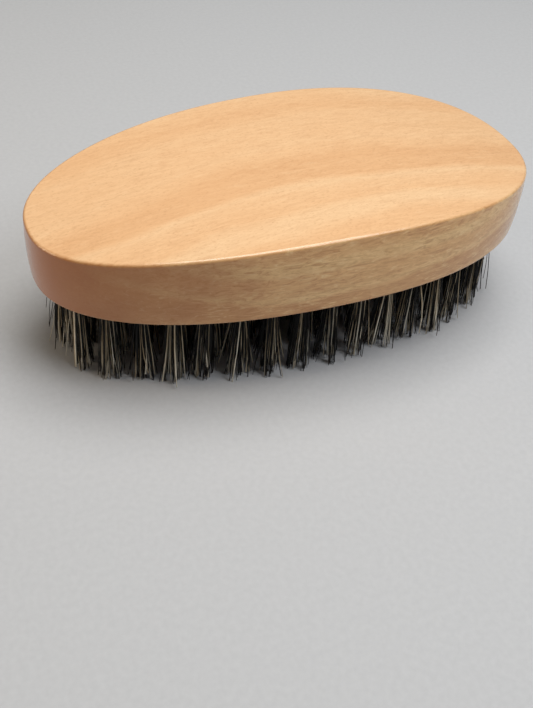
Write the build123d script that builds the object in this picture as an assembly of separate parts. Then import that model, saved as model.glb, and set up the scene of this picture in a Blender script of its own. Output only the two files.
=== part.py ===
"""Palm-held oval clothes brush: a solid hardwood back with punched-in bristle tufts.

The wooden back is one block. It is egg-shaped in plan, a little wider towards +X, flat
underneath and arched lengthwise on top, so that it is thickest in the middle. Its wall swells
out a little between the two rims. Its underside is drilled with rings of blind holes and a
centre row. Each hole holds one tuft of bristles, folded in half over a short flat wire anchor
whose two ends bite into the hole's wall.

Frame: +Z up, +X along the length towards the wide end, and +Y across. The origin is on the
surface that the bristle tips rest on, under the middle of the block. Units are millimetres.
"""

import math
import os

from build123d import *

# --- Wooden back ---------------------------------------------------------------------------
LENGTH = 105.0  # end to end, halfway up the wall
WIDTH = 54.2  # across the middle, halfway up the wall
THICKNESS = 15.7  # in the middle, under the crown of the arch
END_DROP = 3.9  # how much lower the arched top is at either end
OUTLINE_POWER = 2.3  # 2 is a true ellipse; above 2 the outline is fuller
EGG = 0.098  # share by which the outline is wider at +X, and narrower at -X
OUTLINE_POINTS = 72  # through points of the outline's smooth closed curve
TOP_INSET = 0.6  # from the widest line round the wall, halfway up, in to the top rim
BOTTOM_INSET = 0.2  # and in to the bottom rim
TOP_ROUND = 0.6  # radius of the rounded rim round the top
BOTTOM_ROUND = 0.8  # radius of the rounded rim round the underside

# --- Drilling ------------------------------------------------------------------------------
HOLE_DIAMETER = 3.0
HOLE_DEPTH = 7.5  # to the shoulder, where the drill's point begins
DRILL_POINT_ANGLE = 118.0
EDGE_MARGIN = 5.8  # from the outline to the centres of the outer ring of holes

# --- Bristle tufts -------------------------------------------------------------------------
BRISTLE_LENGTH = 18.2  # from the underside of the back to the tips
TUFT_CLEARANCE = 0.05  # between the tuft and the hole's wall, on the radius
TUFT_FLARE = 0.9  # how much further out the bristles stand at the tips, on the radius
GAP_IN_RING = 1.7  # between the tips of neighbouring tufts of one ring
GAP_BETWEEN_RINGS = 0.6  # least gap between the tips of two rings, across the block
FOLD_ROUND = 0.9  # radius of the bristles' fold at the tuft's root
FOLD_GAP = 0.3  # from the fold to the shoulder at the bottom of the hole

# --- Anchors -------------------------------------------------------------------------------
ANCHOR_THICKNESS = 0.3
ANCHOR_HEIGHT = 1.6
ANCHOR_BITE = 0.25  # how far each end of the anchor cuts into the wood
FOLD_THICKNESS = 1.0  # of the bristles folded over the top of the anchor

PATH_POINTS = 720  # round the whole outline, to lay out the rings along
PATH_TOLERANCE = 0.02
TURN = 2 * math.pi
UNDERSIDE = BRISTLE_LENGTH
CROWN = UNDERSIDE + THICKNESS
TUFT_RADIUS = HOLE_DIAMETER / 2 - TUFT_CLEARANCE
TIP_RADIUS = TUFT_RADIUS + TUFT_FLARE
TUFT_TOP = HOLE_DEPTH - FOLD_GAP
TUFT_PITCH = 2 * TIP_RADIUS + GAP_IN_RING
RING_PITCH = 2 * TIP_RADIUS + GAP_BETWEEN_RINGS


def outline_point(angle):
    """The point of the block's plan that lies in the direction of angle. The plan is a
    superellipse, made wider towards +X and narrower towards -X."""
    c, s = math.cos(angle), math.sin(angle)
    reach = abs(2 * c / LENGTH) ** OUTLINE_POWER + abs(2 * s / WIDTH) ** OUTLINE_POWER
    radius = reach ** (-1 / OUTLINE_POWER)
    return radius * c, radius * s * (1 + EGG * radius * c / (LENGTH / 2))


def outline_points(count):
    return [outline_point(TURN * i / count) for i in range(count)]


def inset_path(inset):
    """The +Y half of the line that runs at inset inside the outline, from +X to -X."""
    outline = outline_points(PATH_POINTS)
    path = []
    for (x, y), (next_x, next_y) in zip(outline, outline[1:]):
        step = math.dist((x, y), (next_x, next_y))
        point = (x - inset * (next_y - y) / step, y + inset * (next_x - x) / step)
        nearest = min(math.dist(point, other) for other in outline)
        if point[1] >= 0 and nearest > inset - PATH_TOLERANCE:
            path.append(point)
    return path


def ring_points(inset):
    """Points evenly spaced on the line at inset inside the outline, with one at each end.
    Where the line's two sides are less than a ring's pitch apart, they have no points."""
    path = inset_path(inset)
    run = [0.0]
    for a, b in zip(path, path[1:]):
        run.append(run[-1] + math.dist(a, b))
    count = round(run[-1] / TUFT_PITCH)
    points = [(path[0][0], 0.0), (path[-1][0], 0.0)]
    for i in range(1, count):
        x, y = next(p for p, at in zip(path, run) if at >= run[-1] * i / count)
        if 2 * y >= RING_PITCH:
            points += [(x, y), (x, -y)]
    return points


def hole_groups():
    """Hole centres by group: each ring in four quarters, the outermost ring first, and the
    centre row, which starts midway between the inner ring's ends and runs both ways as far as
    it stays a ring's pitch from the rings."""
    room = WIDTH / 2 - EDGE_MARGIN
    rings = int(room / RING_PITCH)
    groups, drilled = {}, []
    for ring in range(rings):
        points = ring_points(EDGE_MARGIN + ring * room / rings)
        for x, y in points:
            quarter = ("front", "back")[y >= 0] + ("_left", "_right")[x > 0]
            groups.setdefault(f"ring_{ring + 1}_{quarter}", []).append((x, y))
        drilled += points
    middle = (points[0][0] + points[1][0]) / 2
    reach = int((points[0][0] - middle) / TUFT_PITCH)
    row = [(middle + i * TUFT_PITCH, 0.0) for i in range(-reach, reach + 1)]
    groups["centre_row"] = [p for p in row if all(math.dist(p, q) >= RING_PITCH for q in drilled)]
    return groups


def make_blank():
    """The wooden back before drilling: a swelling wall under an arched top, with rounded rims."""
    sections = []
    for height, inset in ((0, BOTTOM_INSET), (THICKNESS / 2, 0), (THICKNESS, TOP_INSET)):
        share_x, share_y = 1 - 2 * inset / LENGTH, 1 - 2 * inset / WIDTH
        points = [(x * share_x, y * share_y) for x, y in outline_points(OUTLINE_POINTS)]
        sections.append(Pos(0, 0, UNDERSIDE + height) * make_face(Spline(*points, periodic=True)))
    # The arch is a large cylinder across the block, through the crown and both ends.
    arch_radius = ((LENGTH / 2) ** 2 + END_DROP**2) / (2 * END_DROP)
    arch = Pos(0, 0, CROWN - arch_radius) * Rot(90, 0, 0) * Cylinder(arch_radius, 2 * WIDTH)
    blank = loft(sections) & arch
    blank = fillet(blank.faces().sort_by(Axis.Z)[-1].edges(), TOP_ROUND)
    return fillet(blank.faces().sort_by(Axis.Z)[0].edges(), BOTTOM_ROUND)


def make_hole():
    """A drilled blind hole with its mouth at the origin, running up."""
    radius = HOLE_DIAMETER / 2
    point = HOLE_DEPTH + radius / math.tan(math.radians(DRILL_POINT_ANGLE / 2))
    profile = Polyline((0, 0), (radius, 0), (radius, HOLE_DEPTH), (0, point), close=True)
    return revolve(Plane.XZ * make_face(profile), Axis.Z)


def make_anchor():
    """The flat wire in its hole, across the grain. The hole's mouth is at the origin."""
    middle = TUFT_TOP - FOLD_THICKNESS - ANCHOR_HEIGHT / 2
    width = HOLE_DIAMETER + 2 * ANCHOR_BITE
    return Pos(0, 0, middle) * Box(ANCHOR_THICKNESS, width, ANCHOR_HEIGHT)


def make_tuft(anchor):
    """The space that one bundle of bristles fills: folded round the anchor in the hole,
    flaring below the hole's mouth at the origin, and cut level at the tips."""
    profile = Polyline(
        (0, TUFT_TOP),
        (TUFT_RADIUS, TUFT_TOP),
        (TUFT_RADIUS, 0),
        (TIP_RADIUS, -BRISTLE_LENGTH),
        (0, -BRISTLE_LENGTH),
        close=True,
    )
    body = revolve(Plane.XZ * make_face(profile), Axis.Z)
    return fillet(body.edges().sort_by(Axis.Z)[-1], FOLD_ROUND) - anchor


def write(name, solids):
    export_step(Compound(children=solids, label=name), f"parts/{name}.step")


def main():
    os.makedirs("parts", exist_ok=True)
    anchor = make_anchor()
    tuft = make_tuft(anchor)
    cutter = make_hole() + anchor
    cuts = []
    for name, points in hole_groups().items():
        places = [Pos(x, y, UNDERSIDE) for x, y in points]
        write(f"tufts_{name}", [place * tuft for place in places])
        write(f"anchors_{name}", [place * anchor for place in places])
        cuts += [place * cutter for place in places]
    write("wooden_back", [make_blank() - cuts])


main()
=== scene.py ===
"""Looks for a palm-held clothes brush: real bristles, lacquered wood, a floor and soft light.

The CAD frame gives the wooden back, the wire anchors and the place of every tuft. Each tuft's
plain solid is replaced here by its own folded bristles.
"""

import math
import random

import bmesh
import bpy
from mathutils import Matrix, Vector


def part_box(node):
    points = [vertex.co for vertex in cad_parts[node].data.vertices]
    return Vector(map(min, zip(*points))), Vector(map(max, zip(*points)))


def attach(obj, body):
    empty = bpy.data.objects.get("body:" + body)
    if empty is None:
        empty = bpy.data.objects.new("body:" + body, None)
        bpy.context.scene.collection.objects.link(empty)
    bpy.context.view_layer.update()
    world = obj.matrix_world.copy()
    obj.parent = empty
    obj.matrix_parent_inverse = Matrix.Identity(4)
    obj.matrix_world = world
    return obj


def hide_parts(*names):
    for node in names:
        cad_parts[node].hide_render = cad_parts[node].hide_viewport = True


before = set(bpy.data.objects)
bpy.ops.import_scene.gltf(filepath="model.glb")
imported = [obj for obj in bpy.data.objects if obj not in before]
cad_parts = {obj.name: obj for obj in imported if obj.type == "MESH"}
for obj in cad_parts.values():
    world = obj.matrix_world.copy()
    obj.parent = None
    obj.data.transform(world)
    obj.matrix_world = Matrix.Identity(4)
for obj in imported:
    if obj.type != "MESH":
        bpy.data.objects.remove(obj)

bl_info = {
    "name": "Clothes brush",
    "version": (1, 0, 0),
    "blender": (4, 5, 0),
    "location": "View3D > Sidebar > Brush",
    "description": "Bristles, lacquered wood and a studio for a palm-held clothes brush",
    "category": "Object",
}

MM = 0.001
UP = Vector((0, 0, 1))
SEED = 7

# The frame's nodes, by name or by how their names start, and its one body.
BACK = "wooden_back"
TUFTS = "tufts_"
ANCHORS = "anchors_"
BODY = "root"

# Growth rings are cut at a slant, so a point's place among them is Y less a share of its height.
RING_SLANT = 1.6
RING_WANDER = 14.0  # mm that the rings wander across the grain
RING_REACH = 30.0  # mm of rings on either side of the crown's middle that have tones of their own
# Places among those rings, from 0 to 1, and how pale the wood is there.
RING_TONES = (
    (0.02, 0.42), (0.14, 0.50), (0.19, 0.88), (0.25, 0.48), (0.31, 0.55), (0.35, 0.82),
    (0.385, 0.34), (0.52, 0.50), (0.66, 0.62), (0.82, 0.44), (0.96, 0.60),
)
# How strong each mark in the wood may be: on the wall, which is cut across the rings and so is
# bolder, and on the two faces.
MARKS = {
    "late": (0.46, 0.10),
    "early": (0.55, 0.0),
    "fibre": (0.42, 0.16),
    "dark": (0.52, 0.12),
    "light": (0.75, 0.14),
    "slit": (0.38, 0.12),
}
EARLY_WOOD = "FCDDAC"
PALE_FIGURE = "F8DDB4"
# Painted warm light: a golden tint multiplied into the wall's colour, against the grey of the
# floor's reflection.
WALL_WARM_LIGHT_TINT = "FFFBE6"
# Painted shade on the wall, darker and redder towards the narrow end: where along X it begins and
# where it is fullest, how far its edge wanders, all in mm, and its least and greatest share of the
# deep colour.
WALL_SHADE_BEGINS, WALL_SHADE_FULL, WALL_SHADE_WANDER = 30.0, -20.0, 60.0
WALL_SHADE_LEAST, WALL_SHADE_MOST = 0.06, 0.84
END_GRAIN_AND_SHADE = 0.26  # share of the deep colour on the ends: partly end grain's real darker stain, partly painted shade

STRAND_SIDES = 4
STRAND_CUTS = 4  # cross-sections between a bristle's two ends
STRAND_TAPER = 0.75  # radius at the tip, as a share of that at the root
HOLE_SHARE = 0.2  # share of the straight bristle's length that goes into the hole
CLUMPS = 6  # points that the tips of one tuft gather in
PALE_CLUMPS = 3  # of those, the ones that the pale bristles gather in
CLUMP_NEAREST = 0.35  # their least distance from the tuft's axis, as a share of its radius
ROOT_SPREAD = 0.85  # share of the tuft's radius that the bristles fill at the fold
PALE_MOUTH = 0.78  # and at the hole's mouth, where the pale bristles stand further in
DARK_MOUTH = 0.88
TIP_JITTER = 0.22 * MM
TUFT_LEAN = 0.5 * MM  # how far the outermost tufts lean outwards
TUFT_SWAY = 0.3 * MM  # how far each tuft leans at random
STRAY_RISE = 3.5 * MM  # some strays end up to this much further above the trim line
HIGHEST_TIP = 6 * MM  # and no bristle ends higher above it than this


# --- Sizes and colours that a user would change ------------------------------------------------


def colour_property(name, description, hex_value):
    """An sRGB colour given as RRGGBB, kept as linear numbers."""
    return bpy.props.FloatVectorProperty(
        name=name, description=description, subtype="COLOR", size=3, min=0, max=1,
        default=linear(hex_value)[:3],
    )


def linear(hex_value):
    """The linear RGBA of an sRGB colour written as RRGGBB."""
    channels = [int(hex_value[i : i + 2], 16) / 255 for i in (0, 2, 4)]
    flat = [c / 12.92 if c <= 0.04045 else ((c + 0.055) / 1.055) ** 2.4 for c in channels]
    return (*flat, 1.0)


class BrushBristleSettings(bpy.types.PropertyGroup):
    strands: bpy.props.IntProperty(
        name="Strands per tuft", description="Bristle ends that stand out of one hole",
        default=84, min=8, max=160,
    )
    thick: bpy.props.FloatProperty(
        name="Bristle thickness", description="Diameter of a stout bristle near its root",
        default=0.30 * MM, min=0.1 * MM, max=1 * MM, subtype="DISTANCE", unit="LENGTH",
    )
    uneven: bpy.props.FloatProperty(
        name="Uneven trim", description="How far above the trim line most bristles may end",
        default=1.3 * MM, min=0, max=5 * MM, subtype="DISTANCE", unit="LENGTH",
    )
    pale_share: bpy.props.FloatProperty(
        name="Pale share", description="Share of bristles that are tan or blond, and stouter",
        default=0.27, min=0, max=1, subtype="FACTOR",
    )
    strays: bpy.props.FloatProperty(
        name="Strays", description="Share of bristles that splay out of their tuft",
        default=0.12, min=0, max=1, subtype="FACTOR",
    )
    splay: bpy.props.FloatProperty(
        name="Splay", description="How far the tips spread, as a share of the CAD tuft's radius",
        default=1.25, min=0.5, max=1.7, subtype="FACTOR",
    )
    dark: colour_property("Dark bristle", "The black bristles", "060504")
    brown: colour_property("Brown bristle", "The bristles between black and tan", "594B3B")
    tan: colour_property("Tan bristle", "The pale bristles", "B8A789")
    blond: colour_property("Blond tip", "The palest bristles and the flagged tips", "F2EAD8")


class BrushWoodSettings(bpy.types.PropertyGroup):
    pale: colour_property("Pale wood", "The pale bands of the wood", "EFC99D")
    warm: colour_property("Warm wood", "The wood's main colour", "E8B888")
    deep: colour_property("Deep wood", "The darker late wood and pores", "A96A3A")
    band: bpy.props.FloatProperty(
        name="Band spacing", description="Distance between the broad growth bands",
        default=9 * MM, min=1 * MM, max=50 * MM, subtype="DISTANCE", unit="LENGTH",
    )


# --- Helpers -----------------------------------------------------------------------------------


def add(tree, kind, settings, inputs, stops=()):
    """Adds a shader node, sets it, and fills each input with a number or another node's socket."""
    node = tree.nodes.new("ShaderNode" + kind)
    for name, value in settings.items():
        setattr(node, name, value)
    for key, value in inputs.items():
        if isinstance(value, bpy.types.NodeSocket):
            tree.links.new(value, node.inputs[key])
        else:
            node.inputs[key].default_value = value
    for i, (place, colour) in enumerate(stops):
        ramp = node.color_ramp.elements
        stop = ramp[i] if i < len(ramp) else ramp.new(place)
        stop.position, stop.color = place, colour
    return node


def new_material(name):
    """An empty material: its node tree and its output node."""
    material = bpy.data.materials.new(name)
    material.use_nodes = True
    material.node_tree.nodes.clear()
    output = material.node_tree.nodes.new("ShaderNodeOutputMaterial")
    return material, material.node_tree, output


def paint(node, material):
    """Gives a CAD node's object one material, and leaves its mesh alone."""
    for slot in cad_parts[node].material_slots:
        slot.material = material


def nodes_named(start):
    """The CAD nodes whose names start that way, in order."""
    names = sorted(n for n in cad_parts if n.startswith(start))
    if not names:
        raise RuntimeError(f"the frame has no node whose name starts with {start}")
    return names


# --- Materials ---------------------------------------------------------------------------------


def lacquered_fruitwood(wood):
    """Pear-like fruitwood, planed, sanded and sprayed with clear satin lacquer: a peach ground
    with broad faint bands along the length, fine fibres, short pores, and a soft sheen."""
    material, tree, output = new_material("lacquered_fruitwood")
    place = add(tree, "TexCoord", {}, {}).outputs["Object"]
    mm = add(tree, "VectorMath", {"operation": "SCALE"}, {0: place, "Scale": 1 / MM}).outputs[0]
    split = add(tree, "SeparateXYZ", {}, {0: mm})

    # The growth rings: even bands at the spacing asked for, mixed with broad ones of set tones.
    slant = add(tree, "Math", {"operation": "MULTIPLY_ADD"},
                {0: split.outputs["Z"], 1: -RING_SLANT, 2: split.outputs["Y"]}).outputs[0]
    drift = add(tree, "Mapping", {}, {"Vector": mm, "Scale": (0.02, 0.05, 0.05)}).outputs[0]
    wander = add(tree, "TexNoise", {}, {"Vector": drift, "Scale": 1.0, "Detail": 2.0}).outputs[0]
    wavy = add(tree, "Math", {"operation": "MULTIPLY_ADD"},
               {0: wander, 1: RING_WANDER, 2: slant}).outputs[0]
    across = add(tree, "CombineXYZ", {}, {"X": wavy}).outputs[0]
    faint = add(tree, "TexNoise", {}, {
        "Vector": across, "Scale": MM / wood.band, "Detail": 4.0, "Roughness": 0.55}).outputs[0]
    crown_ring = RING_WANDER / 2 - RING_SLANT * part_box(BACK)[1].z / MM
    ring = add(tree, "MapRange", {}, {
        0: wavy, 1: crown_ring - RING_REACH, 2: crown_ring + RING_REACH}).outputs[0]
    tone = add(tree, "ValToRGB", {}, {"Fac": ring}, stops=[
        (at, (grey, grey, grey, 1)) for at, grey in RING_TONES]).outputs[0]
    bands = add(tree, "MixRGB", {}, {0: 0.55, 1: faint, 2: tone}).outputs[0]

    # The marks run along X with the grain, so they are stretched that way: fine fibres, the short
    # wavy figure that the lacquer brings up, long open slits, and pores.
    grain = {}
    for name, scale, noise in (
        ("fibre", (0.2, 1.3, 1.3), {"Detail": 5.0, "Roughness": 0.7, "Distortion": 0.3}),
        ("figure", (0.26, 1.15, 1.15), {"Detail": 3.0, "Roughness": 0.6, "Distortion": 1.4}),
        ("slit", (0.16, 1.5, 1.5), {"Detail": 1.0, "Distortion": 0.5}),
        ("pore", (1.5, 3.4, 3.4), {"Detail": 2.0, "Roughness": 0.6}),
        ("cloud", (0.045, 0.045, 0.045), {"Detail": 2.0}),
    ):
        stretched = add(tree, "Mapping", {}, {"Vector": mm, "Scale": scale}).outputs[0]
        grain[name] = add(tree, "TexNoise", {}, {
            "Vector": stretched, "Scale": 1.0, **noise}).outputs[0]

    # level is 0 on the wall and 1 on the flat faces.
    facing = add(tree, "NewGeometry", {}, {}).outputs["Normal"]
    ends, _, up = add(tree, "SeparateXYZ", {}, {0: facing}).outputs
    level = add(tree, "Math", {"operation": "MULTIPLY"}, {0: up, 1: up}).outputs[0]
    most = {
        name: add(tree, "MapRange", {}, {0: level, 3: on_wall, 4: on_face}).outputs[0]
        for name, (on_wall, on_face) in MARKS.items()
    }

    # Each mark is a colour mixed in where its pattern passes from the first value to the second.
    colour = add(tree, "ValToRGB", {}, {"Fac": bands}, stops=[
        (0.36, (*wood.warm, 1)), (0.68, (*wood.pale, 1)),
    ]).outputs[0]
    deep = (*wood.deep, 1)
    shares = {}
    for name, pattern, start, full, amount, smooth, mark in (
        ("late", bands, 0.50, 0.38, most["late"], True, deep),
        ("early", bands, 0.54, 0.66, most["early"], True, linear(EARLY_WOOD)),
        ("fibre", grain["fibre"], 0.40, 0.72, most["fibre"], False, deep),
        ("dark", grain["figure"], 0.50, 0.68, most["dark"], False, deep),
        ("light", grain["figure"], 0.44, 0.30, most["light"], False, linear(PALE_FIGURE)),
        ("pore", grain["pore"], 0.52, 0.74, 0.26, True, deep),
        ("slit", grain["slit"], 0.70, 0.78, most["slit"], True, deep),
        ("cloud", grain["cloud"], 0.40, 0.65, 0.30, False, (*wood.warm, 1)),
    ):
        shares[name] = add(tree, "MapRange",
                           {"interpolation_type": "SMOOTHSTEP" if smooth else "LINEAR"},
                           {0: pattern, 1: start, 2: full, 3: 0.0, 4: amount}).outputs[0]
        colour = add(tree, "MixRGB", {}, {0: shares[name], 1: colour, 2: mark}).outputs[0]

    # End grain drinks more stain and lacquer, so it is redder and darker than the long grain; the
    # deep colour on the ends is partly that and partly painted shade.
    # The wall gets painted shade as well: more of the deep colour, with a patchy edge, towards the
    # narrow end.
    square = add(tree, "Math", {"operation": "MULTIPLY"}, {0: ends, 1: ends}).outputs[0]
    patchy = add(tree, "Math", {"operation": "MULTIPLY_ADD"},
                 {0: grain["cloud"], 1: WALL_SHADE_WANDER, 2: split.outputs["X"]}).outputs[0]
    # Painted shade: the wall's share of the deep colour grows towards the narrow end.
    wall_shade = add(tree, "MapRange", {"interpolation_type": "SMOOTHSTEP"}, {
        0: patchy, 1: WALL_SHADE_BEGINS, 2: WALL_SHADE_FULL, 3: WALL_SHADE_LEAST, 4: WALL_SHADE_MOST}).outputs[0]
    wall = add(tree, "MapRange", {}, {0: level, 3: wall_shade, 4: 0.0}).outputs[0]
    red_share = add(tree, "Math", {"operation": "MULTIPLY_ADD"},
                    {0: square, 1: END_GRAIN_AND_SHADE, 2: wall}).outputs[0]
    # Painted warm light on the wall: its colour is multiplied by a golden tint, fading out towards
    # the flat faces.
    warm_light_mask = add(tree, "MapRange", {}, {0: level, 3: 1.0, 4: 0.0}).outputs[0]
    tinted = add(tree, "MixRGB", {"blend_type": "MULTIPLY"},
                 {0: warm_light_mask, 1: colour, 2: linear(WALL_WARM_LIGHT_TINT)}).outputs[0]
    ended = add(tree, "MixRGB", {}, {0: red_share, 1: tinted, 2: deep}).outputs[0]

    height = add(tree, "Math", {"operation": "MULTIPLY_ADD"},
                 {0: shares["pore"], 1: -2.0, 2: grain["fibre"]}).outputs[0]
    bump = add(tree, "Bump", {}, {
        "Strength": 0.2, "Distance": 0.05 * MM, "Height": height}).outputs[0]
    rough = add(tree, "MapRange", {}, {
        0: grain["fibre"], 1: 0.3, 2: 0.8, 3: 0.34, 4: 0.5}).outputs[0]
    shader = add(tree, "BsdfPrincipled", {}, {
        "Base Color": ended, "Roughness": rough, "Normal": bump, "IOR": 1.2,
        "Coat Weight": 0.9, "Coat Roughness": 0.14, "Coat IOR": 1.5,
    })
    tree.links.new(shader.outputs[0], output.inputs["Surface"])
    return material


def boar_bristle(bristle):
    """Natural boar bristle, washed and cut: each strand has its own shade from black to blond, it
    is paler towards its flagged tip, partly its real colour and partly a painted highlight on the
    lit tips with painted shade near the root, and it has a waxy gloss."""
    material, tree, output = new_material("boar_bristle")
    strand = add(tree, "UVMap", {"uv_map": "strand"}, {}).outputs[0]
    split = add(tree, "SeparateXYZ", {}, {0: strand})
    shade, along = split.outputs["X"], split.outputs["Y"]
    place = add(tree, "TexCoord", {}, {}).outputs["Object"]
    mm = add(tree, "VectorMath", {"operation": "SCALE"}, {0: place, "Scale": 1 / MM}).outputs[0]
    blotch = add(tree, "TexNoise", {}, {
        "Vector": mm, "Scale": 0.55, "Detail": 3.0, "Roughness": 0.6}).outputs[0]
    # Paler towards the tip and a little darker near the root: partly the flagged tips' real
    # colour, partly a painted highlight on the lit tips and painted shade under the back.
    paler_and_lit = add(tree, "MapRange", {}, {0: along, 1: 0.45, 2: 1.0, 3: -0.02, 4: 0.20}).outputs[0]
    mixed = add(tree, "Math", {"operation": "ADD"}, {0: shade, 1: paler_and_lit}).outputs[0]
    varied = add(tree, "Math", {"operation": "MULTIPLY_ADD"},
                 {0: blotch, 1: 0.22, 2: mixed}).outputs[0]
    centred = add(tree, "Math", {"operation": "SUBTRACT"}, {0: varied, 1: 0.11}).outputs[0]
    colour = add(tree, "ValToRGB", {}, {"Fac": centred}, stops=[
        (0.0, (*bristle.dark, 1)), (0.40, (*bristle.dark, 1)), (0.56, (*bristle.brown, 1)),
        (0.74, (*bristle.tan, 1)), (0.98, (*bristle.blond, 1)),
    ]).outputs[0]
    shader = add(tree, "BsdfPrincipled", {}, {"Base Color": colour, "Roughness": 0.5, "IOR": 1.33})
    tree.links.new(shader.outputs[0], output.inputs["Surface"])
    return material


def drawn_flat_wire():
    """Galvanised steel wire, rolled flat and cut: dull grey metal with marks along its length."""
    material, tree, output = new_material("drawn_flat_wire")
    place = add(tree, "TexCoord", {}, {}).outputs["Object"]
    mm = add(tree, "VectorMath", {"operation": "SCALE"}, {0: place, "Scale": 1 / MM}).outputs[0]
    drawn = add(tree, "Mapping", {}, {"Vector": mm, "Scale": (9.0, 0.6, 9.0)}).outputs[0]
    marks = add(tree, "TexNoise", {}, {"Vector": drawn, "Scale": 1.0, "Detail": 4.0}).outputs[0]
    colour = add(tree, "ValToRGB", {}, {"Fac": marks}, stops=[
        (0.3, linear("77797A")), (0.7, linear("B4B6B5")),
    ]).outputs[0]
    rough = add(tree, "MapRange", {}, {0: marks, 3: 0.35, 4: 0.6}).outputs[0]
    shader = add(tree, "BsdfPrincipled", {}, {
        "Base Color": colour, "Metallic": 1.0, "Roughness": rough,
    })
    tree.links.new(shader.outputs[0], output.inputs["Surface"])
    return material


def matt_paper():
    """Pale seamless studio paper: matt, with a barely visible tooth."""
    material, tree, output = new_material("matt_paper")
    place = add(tree, "TexCoord", {}, {}).outputs["Object"]
    tooth = add(tree, "TexNoise", {}, {"Vector": place, "Scale": 900.0, "Detail": 3.0}).outputs[0]
    colour = add(tree, "ValToRGB", {}, {"Fac": tooth}, stops=[
        (0.3, linear("B8BABD")), (0.7, linear("BDBFC2")),
    ]).outputs[0]
    shader = add(tree, "BsdfPrincipled", {}, {"Base Color": colour, "Roughness": 0.85})
    tree.links.new(shader.outputs[0], output.inputs["Surface"])
    return material


# --- Bristles ----------------------------------------------------------------------------------


def islands(bm):
    """The separate lumps of a mesh, each as a list of its vertices, in the mesh's own order."""
    for vert in bm.verts:
        vert.tag = False
    for first in bm.verts:
        if first.tag:
            continue
        first.tag = True
        lump = [first]
        for vert in lump:
            for edge in vert.link_edges:
                other = edge.other_vert(vert)
                if not other.tag:
                    other.tag = True
                    lump.append(other)
        yield lump


def anchor_middles(node):
    """The middle of each wire anchor of a CAD node: a tuft is folded over each of them."""
    bm = bmesh.new()
    bm.from_mesh(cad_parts[node].data)
    bmesh.ops.remove_doubles(bm, verts=bm.verts, dist=0.001 * MM)
    middles = []
    for lump in islands(bm):
        low = Vector(min(v.co[i] for v in lump) for i in range(3))
        high = Vector(max(v.co[i] for v in lump) for i in range(3))
        middles.append((low + high) / 2)
    bm.free()
    return middles


def tuft_radii(node, axis, mouth, room):
    """A tuft's radius at its root and at its tips, from its CAD solid. Points further than room
    from its axis belong to other tufts of the node."""
    reach = {True: 0.0, False: 0.0}
    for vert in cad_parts[node].data.vertices:
        off = math.hypot(vert.co.x - axis.x, vert.co.y - axis.y)
        if off < room:
            in_hole = vert.co.z > mouth
            reach[in_hole] = max(reach[in_hole], off)
    return reach[True], reach[False]


def strand_blank():
    """A straight bristle of unit length and radius, thinner towards its tip at z = 1."""
    bm = bmesh.new()
    bmesh.ops.create_cone(
        bm, cap_ends=True, segments=STRAND_SIDES, radius1=1.0, radius2=STRAND_TAPER, depth=1.0)
    bmesh.ops.translate(bm, verts=bm.verts, vec=(0, 0, 0.5))
    sides = [e for e in bm.edges if abs(e.verts[0].co.z - e.verts[1].co.z) > 0.5]
    bmesh.ops.subdivide_edges(bm, edges=sides, cuts=STRAND_CUTS, use_grid_fill=True)
    for face in bm.faces:
        face.smooth = True
    mesh = bpy.data.meshes.new("strand_blank")
    bm.to_mesh(mesh)
    bm.free()
    return mesh


class Strand:
    """One bristle: where it runs from the fold to its tip, how thick it is and its shade."""

    def __init__(self, draw, axis, mouth, radii, lean, clumps, settings):
        turn, out = draw.uniform(0, math.tau), math.sqrt(draw.random())
        aim = Vector((math.cos(turn), math.sin(turn), 0)) * out
        pale = draw.random() < settings.pale_share
        stray = draw.random() < settings.strays
        near = clumps[:PALE_CLUMPS] if pale else clumps
        clump = min(near, key=lambda spot: (spot - aim).length)
        aside = aim.lerp(clump, 0.0 if stray else draw.uniform(0.3, 0.9))
        jitter = Vector((draw.gauss(0, 1), draw.gauss(0, 1), 0)) * TIP_JITTER
        height = abs(draw.gauss(0, 0.5)) * settings.uneven
        if stray:
            aside *= draw.uniform(1.1, 1.6)
            height += draw.choice((0, 0, 1)) * draw.random() * STRAY_RISE
        foot = Vector((axis.x, axis.y, mouth))
        tips = Vector((axis.x, axis.y, min(height, HIGHEST_TIP)))
        self.root = axis + aim * radii[0] * ROOT_SPREAD
        self.mouth = foot + aim * radii[0] * (PALE_MOUTH if pale else DARK_MOUTH)
        self.tip = tips + aside * radii[1] * settings.splay + jitter + lean
        side = Vector((draw.gauss(0, 1), draw.gauss(0, 1), 0))
        self.bow = side * (0.5 if stray else 0.25) * MM
        self.kink = draw.uniform(0.3, 0.8)
        stout = draw.uniform(0.8, 1.35) if pale else draw.uniform(0.6, 0.95)
        self.radius = settings.thick / 2 * stout
        self.flat = draw.uniform(0.5, 0.9)
        self.twist = draw.uniform(0, math.pi)
        self.shade = draw.uniform(0.56, 0.88) if pale else draw.uniform(0.0, 0.32)

    def place(self, point):
        """A point of the straight blank, moved to its place on this bristle."""
        if point.z < HOLE_SHARE:
            middle = self.root.lerp(self.mouth, point.z / HOLE_SHARE)
        else:
            t = (point.z - HOLE_SHARE) / (1 - HOLE_SHARE)
            bend = 4 * t * (1 - t) * (0.5 + self.kink * t)
            middle = self.mouth.lerp(self.tip, t) + self.bow * bend
        across = Matrix.Rotation(self.twist, 3, "Z") @ Vector((point.x, point.y * self.flat, 0))
        return middle + across * self.radius


def spot_in_disc(draw, near, far):
    """A random point of a flat ring round the origin, from radius near to radius far."""
    turn, out = draw.uniform(0, math.tau), draw.uniform(near, far)
    return Vector((math.cos(turn), math.sin(turn), 0)) * out


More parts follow.
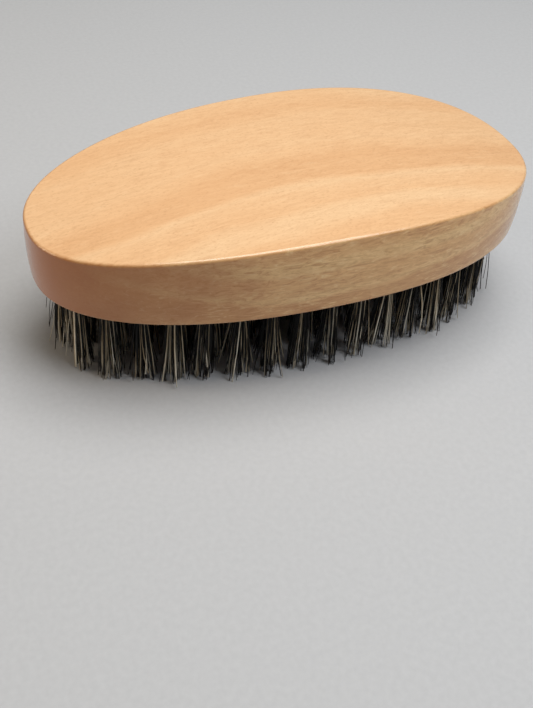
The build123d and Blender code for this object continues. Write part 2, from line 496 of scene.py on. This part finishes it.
def make_bristles(tufts, blank, settings, draw):
    """All the bristles of one CAD node of tufts, as one mesh object."""
    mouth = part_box(BACK)[0].z
    centre = (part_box(BACK)[0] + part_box(BACK)[1]) / 2
    half = (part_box(BACK)[1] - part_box(BACK)[0]) / 2
    strands = []
    axes = anchor_middles(tufts.replace(TUFTS, ANCHORS))
    apart = [(a - b).length for a in axes for b in axes if a is not b]
    room = min(apart, default=math.inf) / 2
    for axis in axes:
        radii = tuft_radii(tufts, axis, mouth, room)
        outward = Vector(((axis.x - centre.x) / half.x, (axis.y - centre.y) / half.y, 0))
        sway = Vector((draw.gauss(0, 1), draw.gauss(0, 1), 0))
        lean = outward * TUFT_LEAN + sway * TUFT_SWAY
        clumps = [spot_in_disc(draw, CLUMP_NEAREST, 1.0) for _ in range(CLUMPS)]
        for _ in range(settings.strands):
            strands.append(Strand(draw, axis, mouth, radii, lean, clumps, settings))

    bm = bmesh.new()
    for _ in strands:
        bm.from_mesh(blank)
    name = tufts.replace(TUFTS, "bristles_")
    mesh = bpy.data.meshes.new(name)
    bm.to_mesh(mesh)
    bm.free()
    points = [vert.co for vert in blank.vertices]
    placed = [strand.place(point) for strand in strands for point in points]
    mesh.vertices.foreach_set("co", [x for point in placed for x in point])
    # The material reads each bristle's shade and the distance along it from this map.
    along = [points[loop.vertex_index].z for loop in blank.loops]
    layer = mesh.uv_layers.new(name="strand")
    layer.data.foreach_set(
        "uv", [x for strand in strands for z in along for x in (strand.shade, z)])
    piece = bpy.data.objects.new(name, mesh)
    bpy.context.scene.collection.objects.link(piece)
    return piece


class BRUSH_OT_bristles(bpy.types.Operator):
    """Replace each plain tuft with its own bristles"""

    bl_idname = "brush.bristles"
    bl_label = "Set the bristles"

    def execute(self, context):
        settings = context.scene.brush_bristles
        material = boar_bristle(settings)
        blank = strand_blank()
        for number, tufts in enumerate(nodes_named(TUFTS)):
            piece = make_bristles(tufts, blank, settings, random.Random(SEED + number))
            piece.data.materials.append(material)
            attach(piece, BODY)
            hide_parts(tufts)
        bpy.data.meshes.remove(blank)
        return {"FINISHED"}


class BRUSH_OT_wooden_back(bpy.types.Operator):
    """Give the wooden back its grain and lacquer"""

    bl_idname = "brush.wooden_back"
    bl_label = "Lacquer the back"

    def execute(self, context):
        paint(BACK, lacquered_fruitwood(context.scene.brush_wood))
        return {"FINISHED"}


class BRUSH_OT_anchors(bpy.types.Operator):
    """Give the wire anchors their metal"""

    bl_idname = "brush.anchors"
    bl_label = "Finish the anchors"

    def execute(self, context):
        material = drawn_flat_wire()
        for node in nodes_named(ANCHORS):
            paint(node, material)
        return {"FINISHED"}


# --- Studio ------------------------------------------------------------------------------------

CAMERA_TURN = math.radians(-27.54)  # from square on, towards the narrow end
CAMERA_RISE = math.radians(44.07)
CAMERA_ROLL = math.radians(5.26)
CAMERA_LENS = 45.76  # mm, on a 36 mm sensor along the picture's long side
# In half lengths of the back: from the middle of its top to the point looked at, and from there
# to the camera.
AIM = Vector((-0.2538, -0.4383, -0.5200))
CAMERA_DISTANCE = 3.360

FLOOR_REACH = 40  # half of the floor's side, in half lengths of the back
WORLD_COLOUR = "E9EDF2"
WORLD_STRENGTH = 0.08
# Square softboxes: name, side, watts, place from the middle of the top, and colour. The side and
# the place are in half lengths of the back.
LIGHTS = (
    ("overhead", 6, 2.2, (1.5, 0.5, 9), (1.0, 0.98, 0.94)),
    ("front_fill", 5, 1.3, (4.2, -5.5, 8.5), (0.97, 0.98, 1.0)),
    ("warm_end", 4, 0.65, (-8, 2.2, 2.4), (1.0, 0.82, 0.60)),
)


def soft_light(name, size, energy, place, target, colour):
    """A square softbox that faces its target."""
    lamp = bpy.data.lights.new(name, "AREA")
    lamp.shape, lamp.size, lamp.energy, lamp.color = "SQUARE", size, energy, colour
    light = bpy.data.objects.new(name, lamp)
    light.location = place
    light.rotation_euler = (target - place).to_track_quat("-Z", "Y").to_euler()
    bpy.context.scene.collection.objects.link(light)


class BRUSH_OT_studio(bpy.types.Operator):
    """Set the floor, the lights and the camera"""

    bl_idname = "brush.studio"
    bl_label = "Set the studio"

    def execute(self, context):
        scene = context.scene
        low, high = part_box(BACK)
        half = (high.x - low.x) / 2
        crown = Vector(((low.x + high.x) / 2, (low.y + high.y) / 2, high.z))

        bm = bmesh.new()
        bmesh.ops.create_grid(bm, x_segments=1, y_segments=1, size=FLOOR_REACH * half)
        mesh = bpy.data.meshes.new("floor")
        bm.to_mesh(mesh)
        bm.free()
        mesh.materials.append(matt_paper())
        floor = bpy.data.objects.new("floor", mesh)
        scene.collection.objects.link(floor)

        world = bpy.data.worlds.new("studio")
        world.use_nodes = True
        background = world.node_tree.nodes["Background"].inputs
        background["Color"].default_value = linear(WORLD_COLOUR)
        background["Strength"].default_value = WORLD_STRENGTH
        scene.world = world
        for name, side, watts, place, colour in LIGHTS:
            soft_light(name, side * half, watts, crown + Vector(place) * half, crown, colour)

        turn = Matrix.Rotation(CAMERA_TURN, 4, "Z")
        rise = Matrix.Rotation(math.pi / 2 - CAMERA_RISE, 4, "X")
        roll = Matrix.Rotation(CAMERA_ROLL, 4, "Z")
        facing = turn @ rise @ roll
        eye = crown + AIM * half + facing.to_3x3() @ UP * CAMERA_DISTANCE * half
        lens = bpy.data.cameras.new("camera")
        lens.lens = CAMERA_LENS
        lens.clip_start = 1 * MM
        camera = bpy.data.objects.new("camera", lens)
        camera.matrix_world = Matrix.Translation(eye) @ facing
        scene.collection.objects.link(camera)
        scene.camera = camera
        scene.view_settings.view_transform = "Standard"
        return {"FINISHED"}


class BRUSH_PT_panel(bpy.types.Panel):
    """Lists the steps that finish the brush"""

    bl_label = "Clothes brush"
    bl_idname = "BRUSH_PT_panel"
    bl_space_type = "VIEW_3D"
    bl_region_type = "UI"
    bl_category = "Brush"

    def draw(self, context):
        for settings in (context.scene.brush_wood, context.scene.brush_bristles):
            box = self.layout.box()
            for name in settings.__annotations__:
                box.prop(settings, name)
        for step in STEPS:
            self.layout.operator(step.bl_idname)


STEPS = (BRUSH_OT_wooden_back, BRUSH_OT_anchors, BRUSH_OT_bristles, BRUSH_OT_studio)
CLASSES = (BrushBristleSettings, BrushWoodSettings, *STEPS, BRUSH_PT_panel)


def register():
    for cls in CLASSES:
        bpy.utils.register_class(cls)
    bpy.types.Scene.brush_bristles = bpy.props.PointerProperty(type=BrushBristleSettings)
    bpy.types.Scene.brush_wood = bpy.props.PointerProperty(type=BrushWoodSettings)


def unregister():
    del bpy.types.Scene.brush_wood
    del bpy.types.Scene.brush_bristles
    for cls in reversed(CLASSES):
        bpy.utils.unregister_class(cls)


def main():
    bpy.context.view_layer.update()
    register()
    bpy.ops.brush.wooden_back()
    bpy.ops.brush.anchors()
    bpy.ops.brush.bristles()
    bpy.ops.brush.studio()


if __name__ == "__main__":
    main()
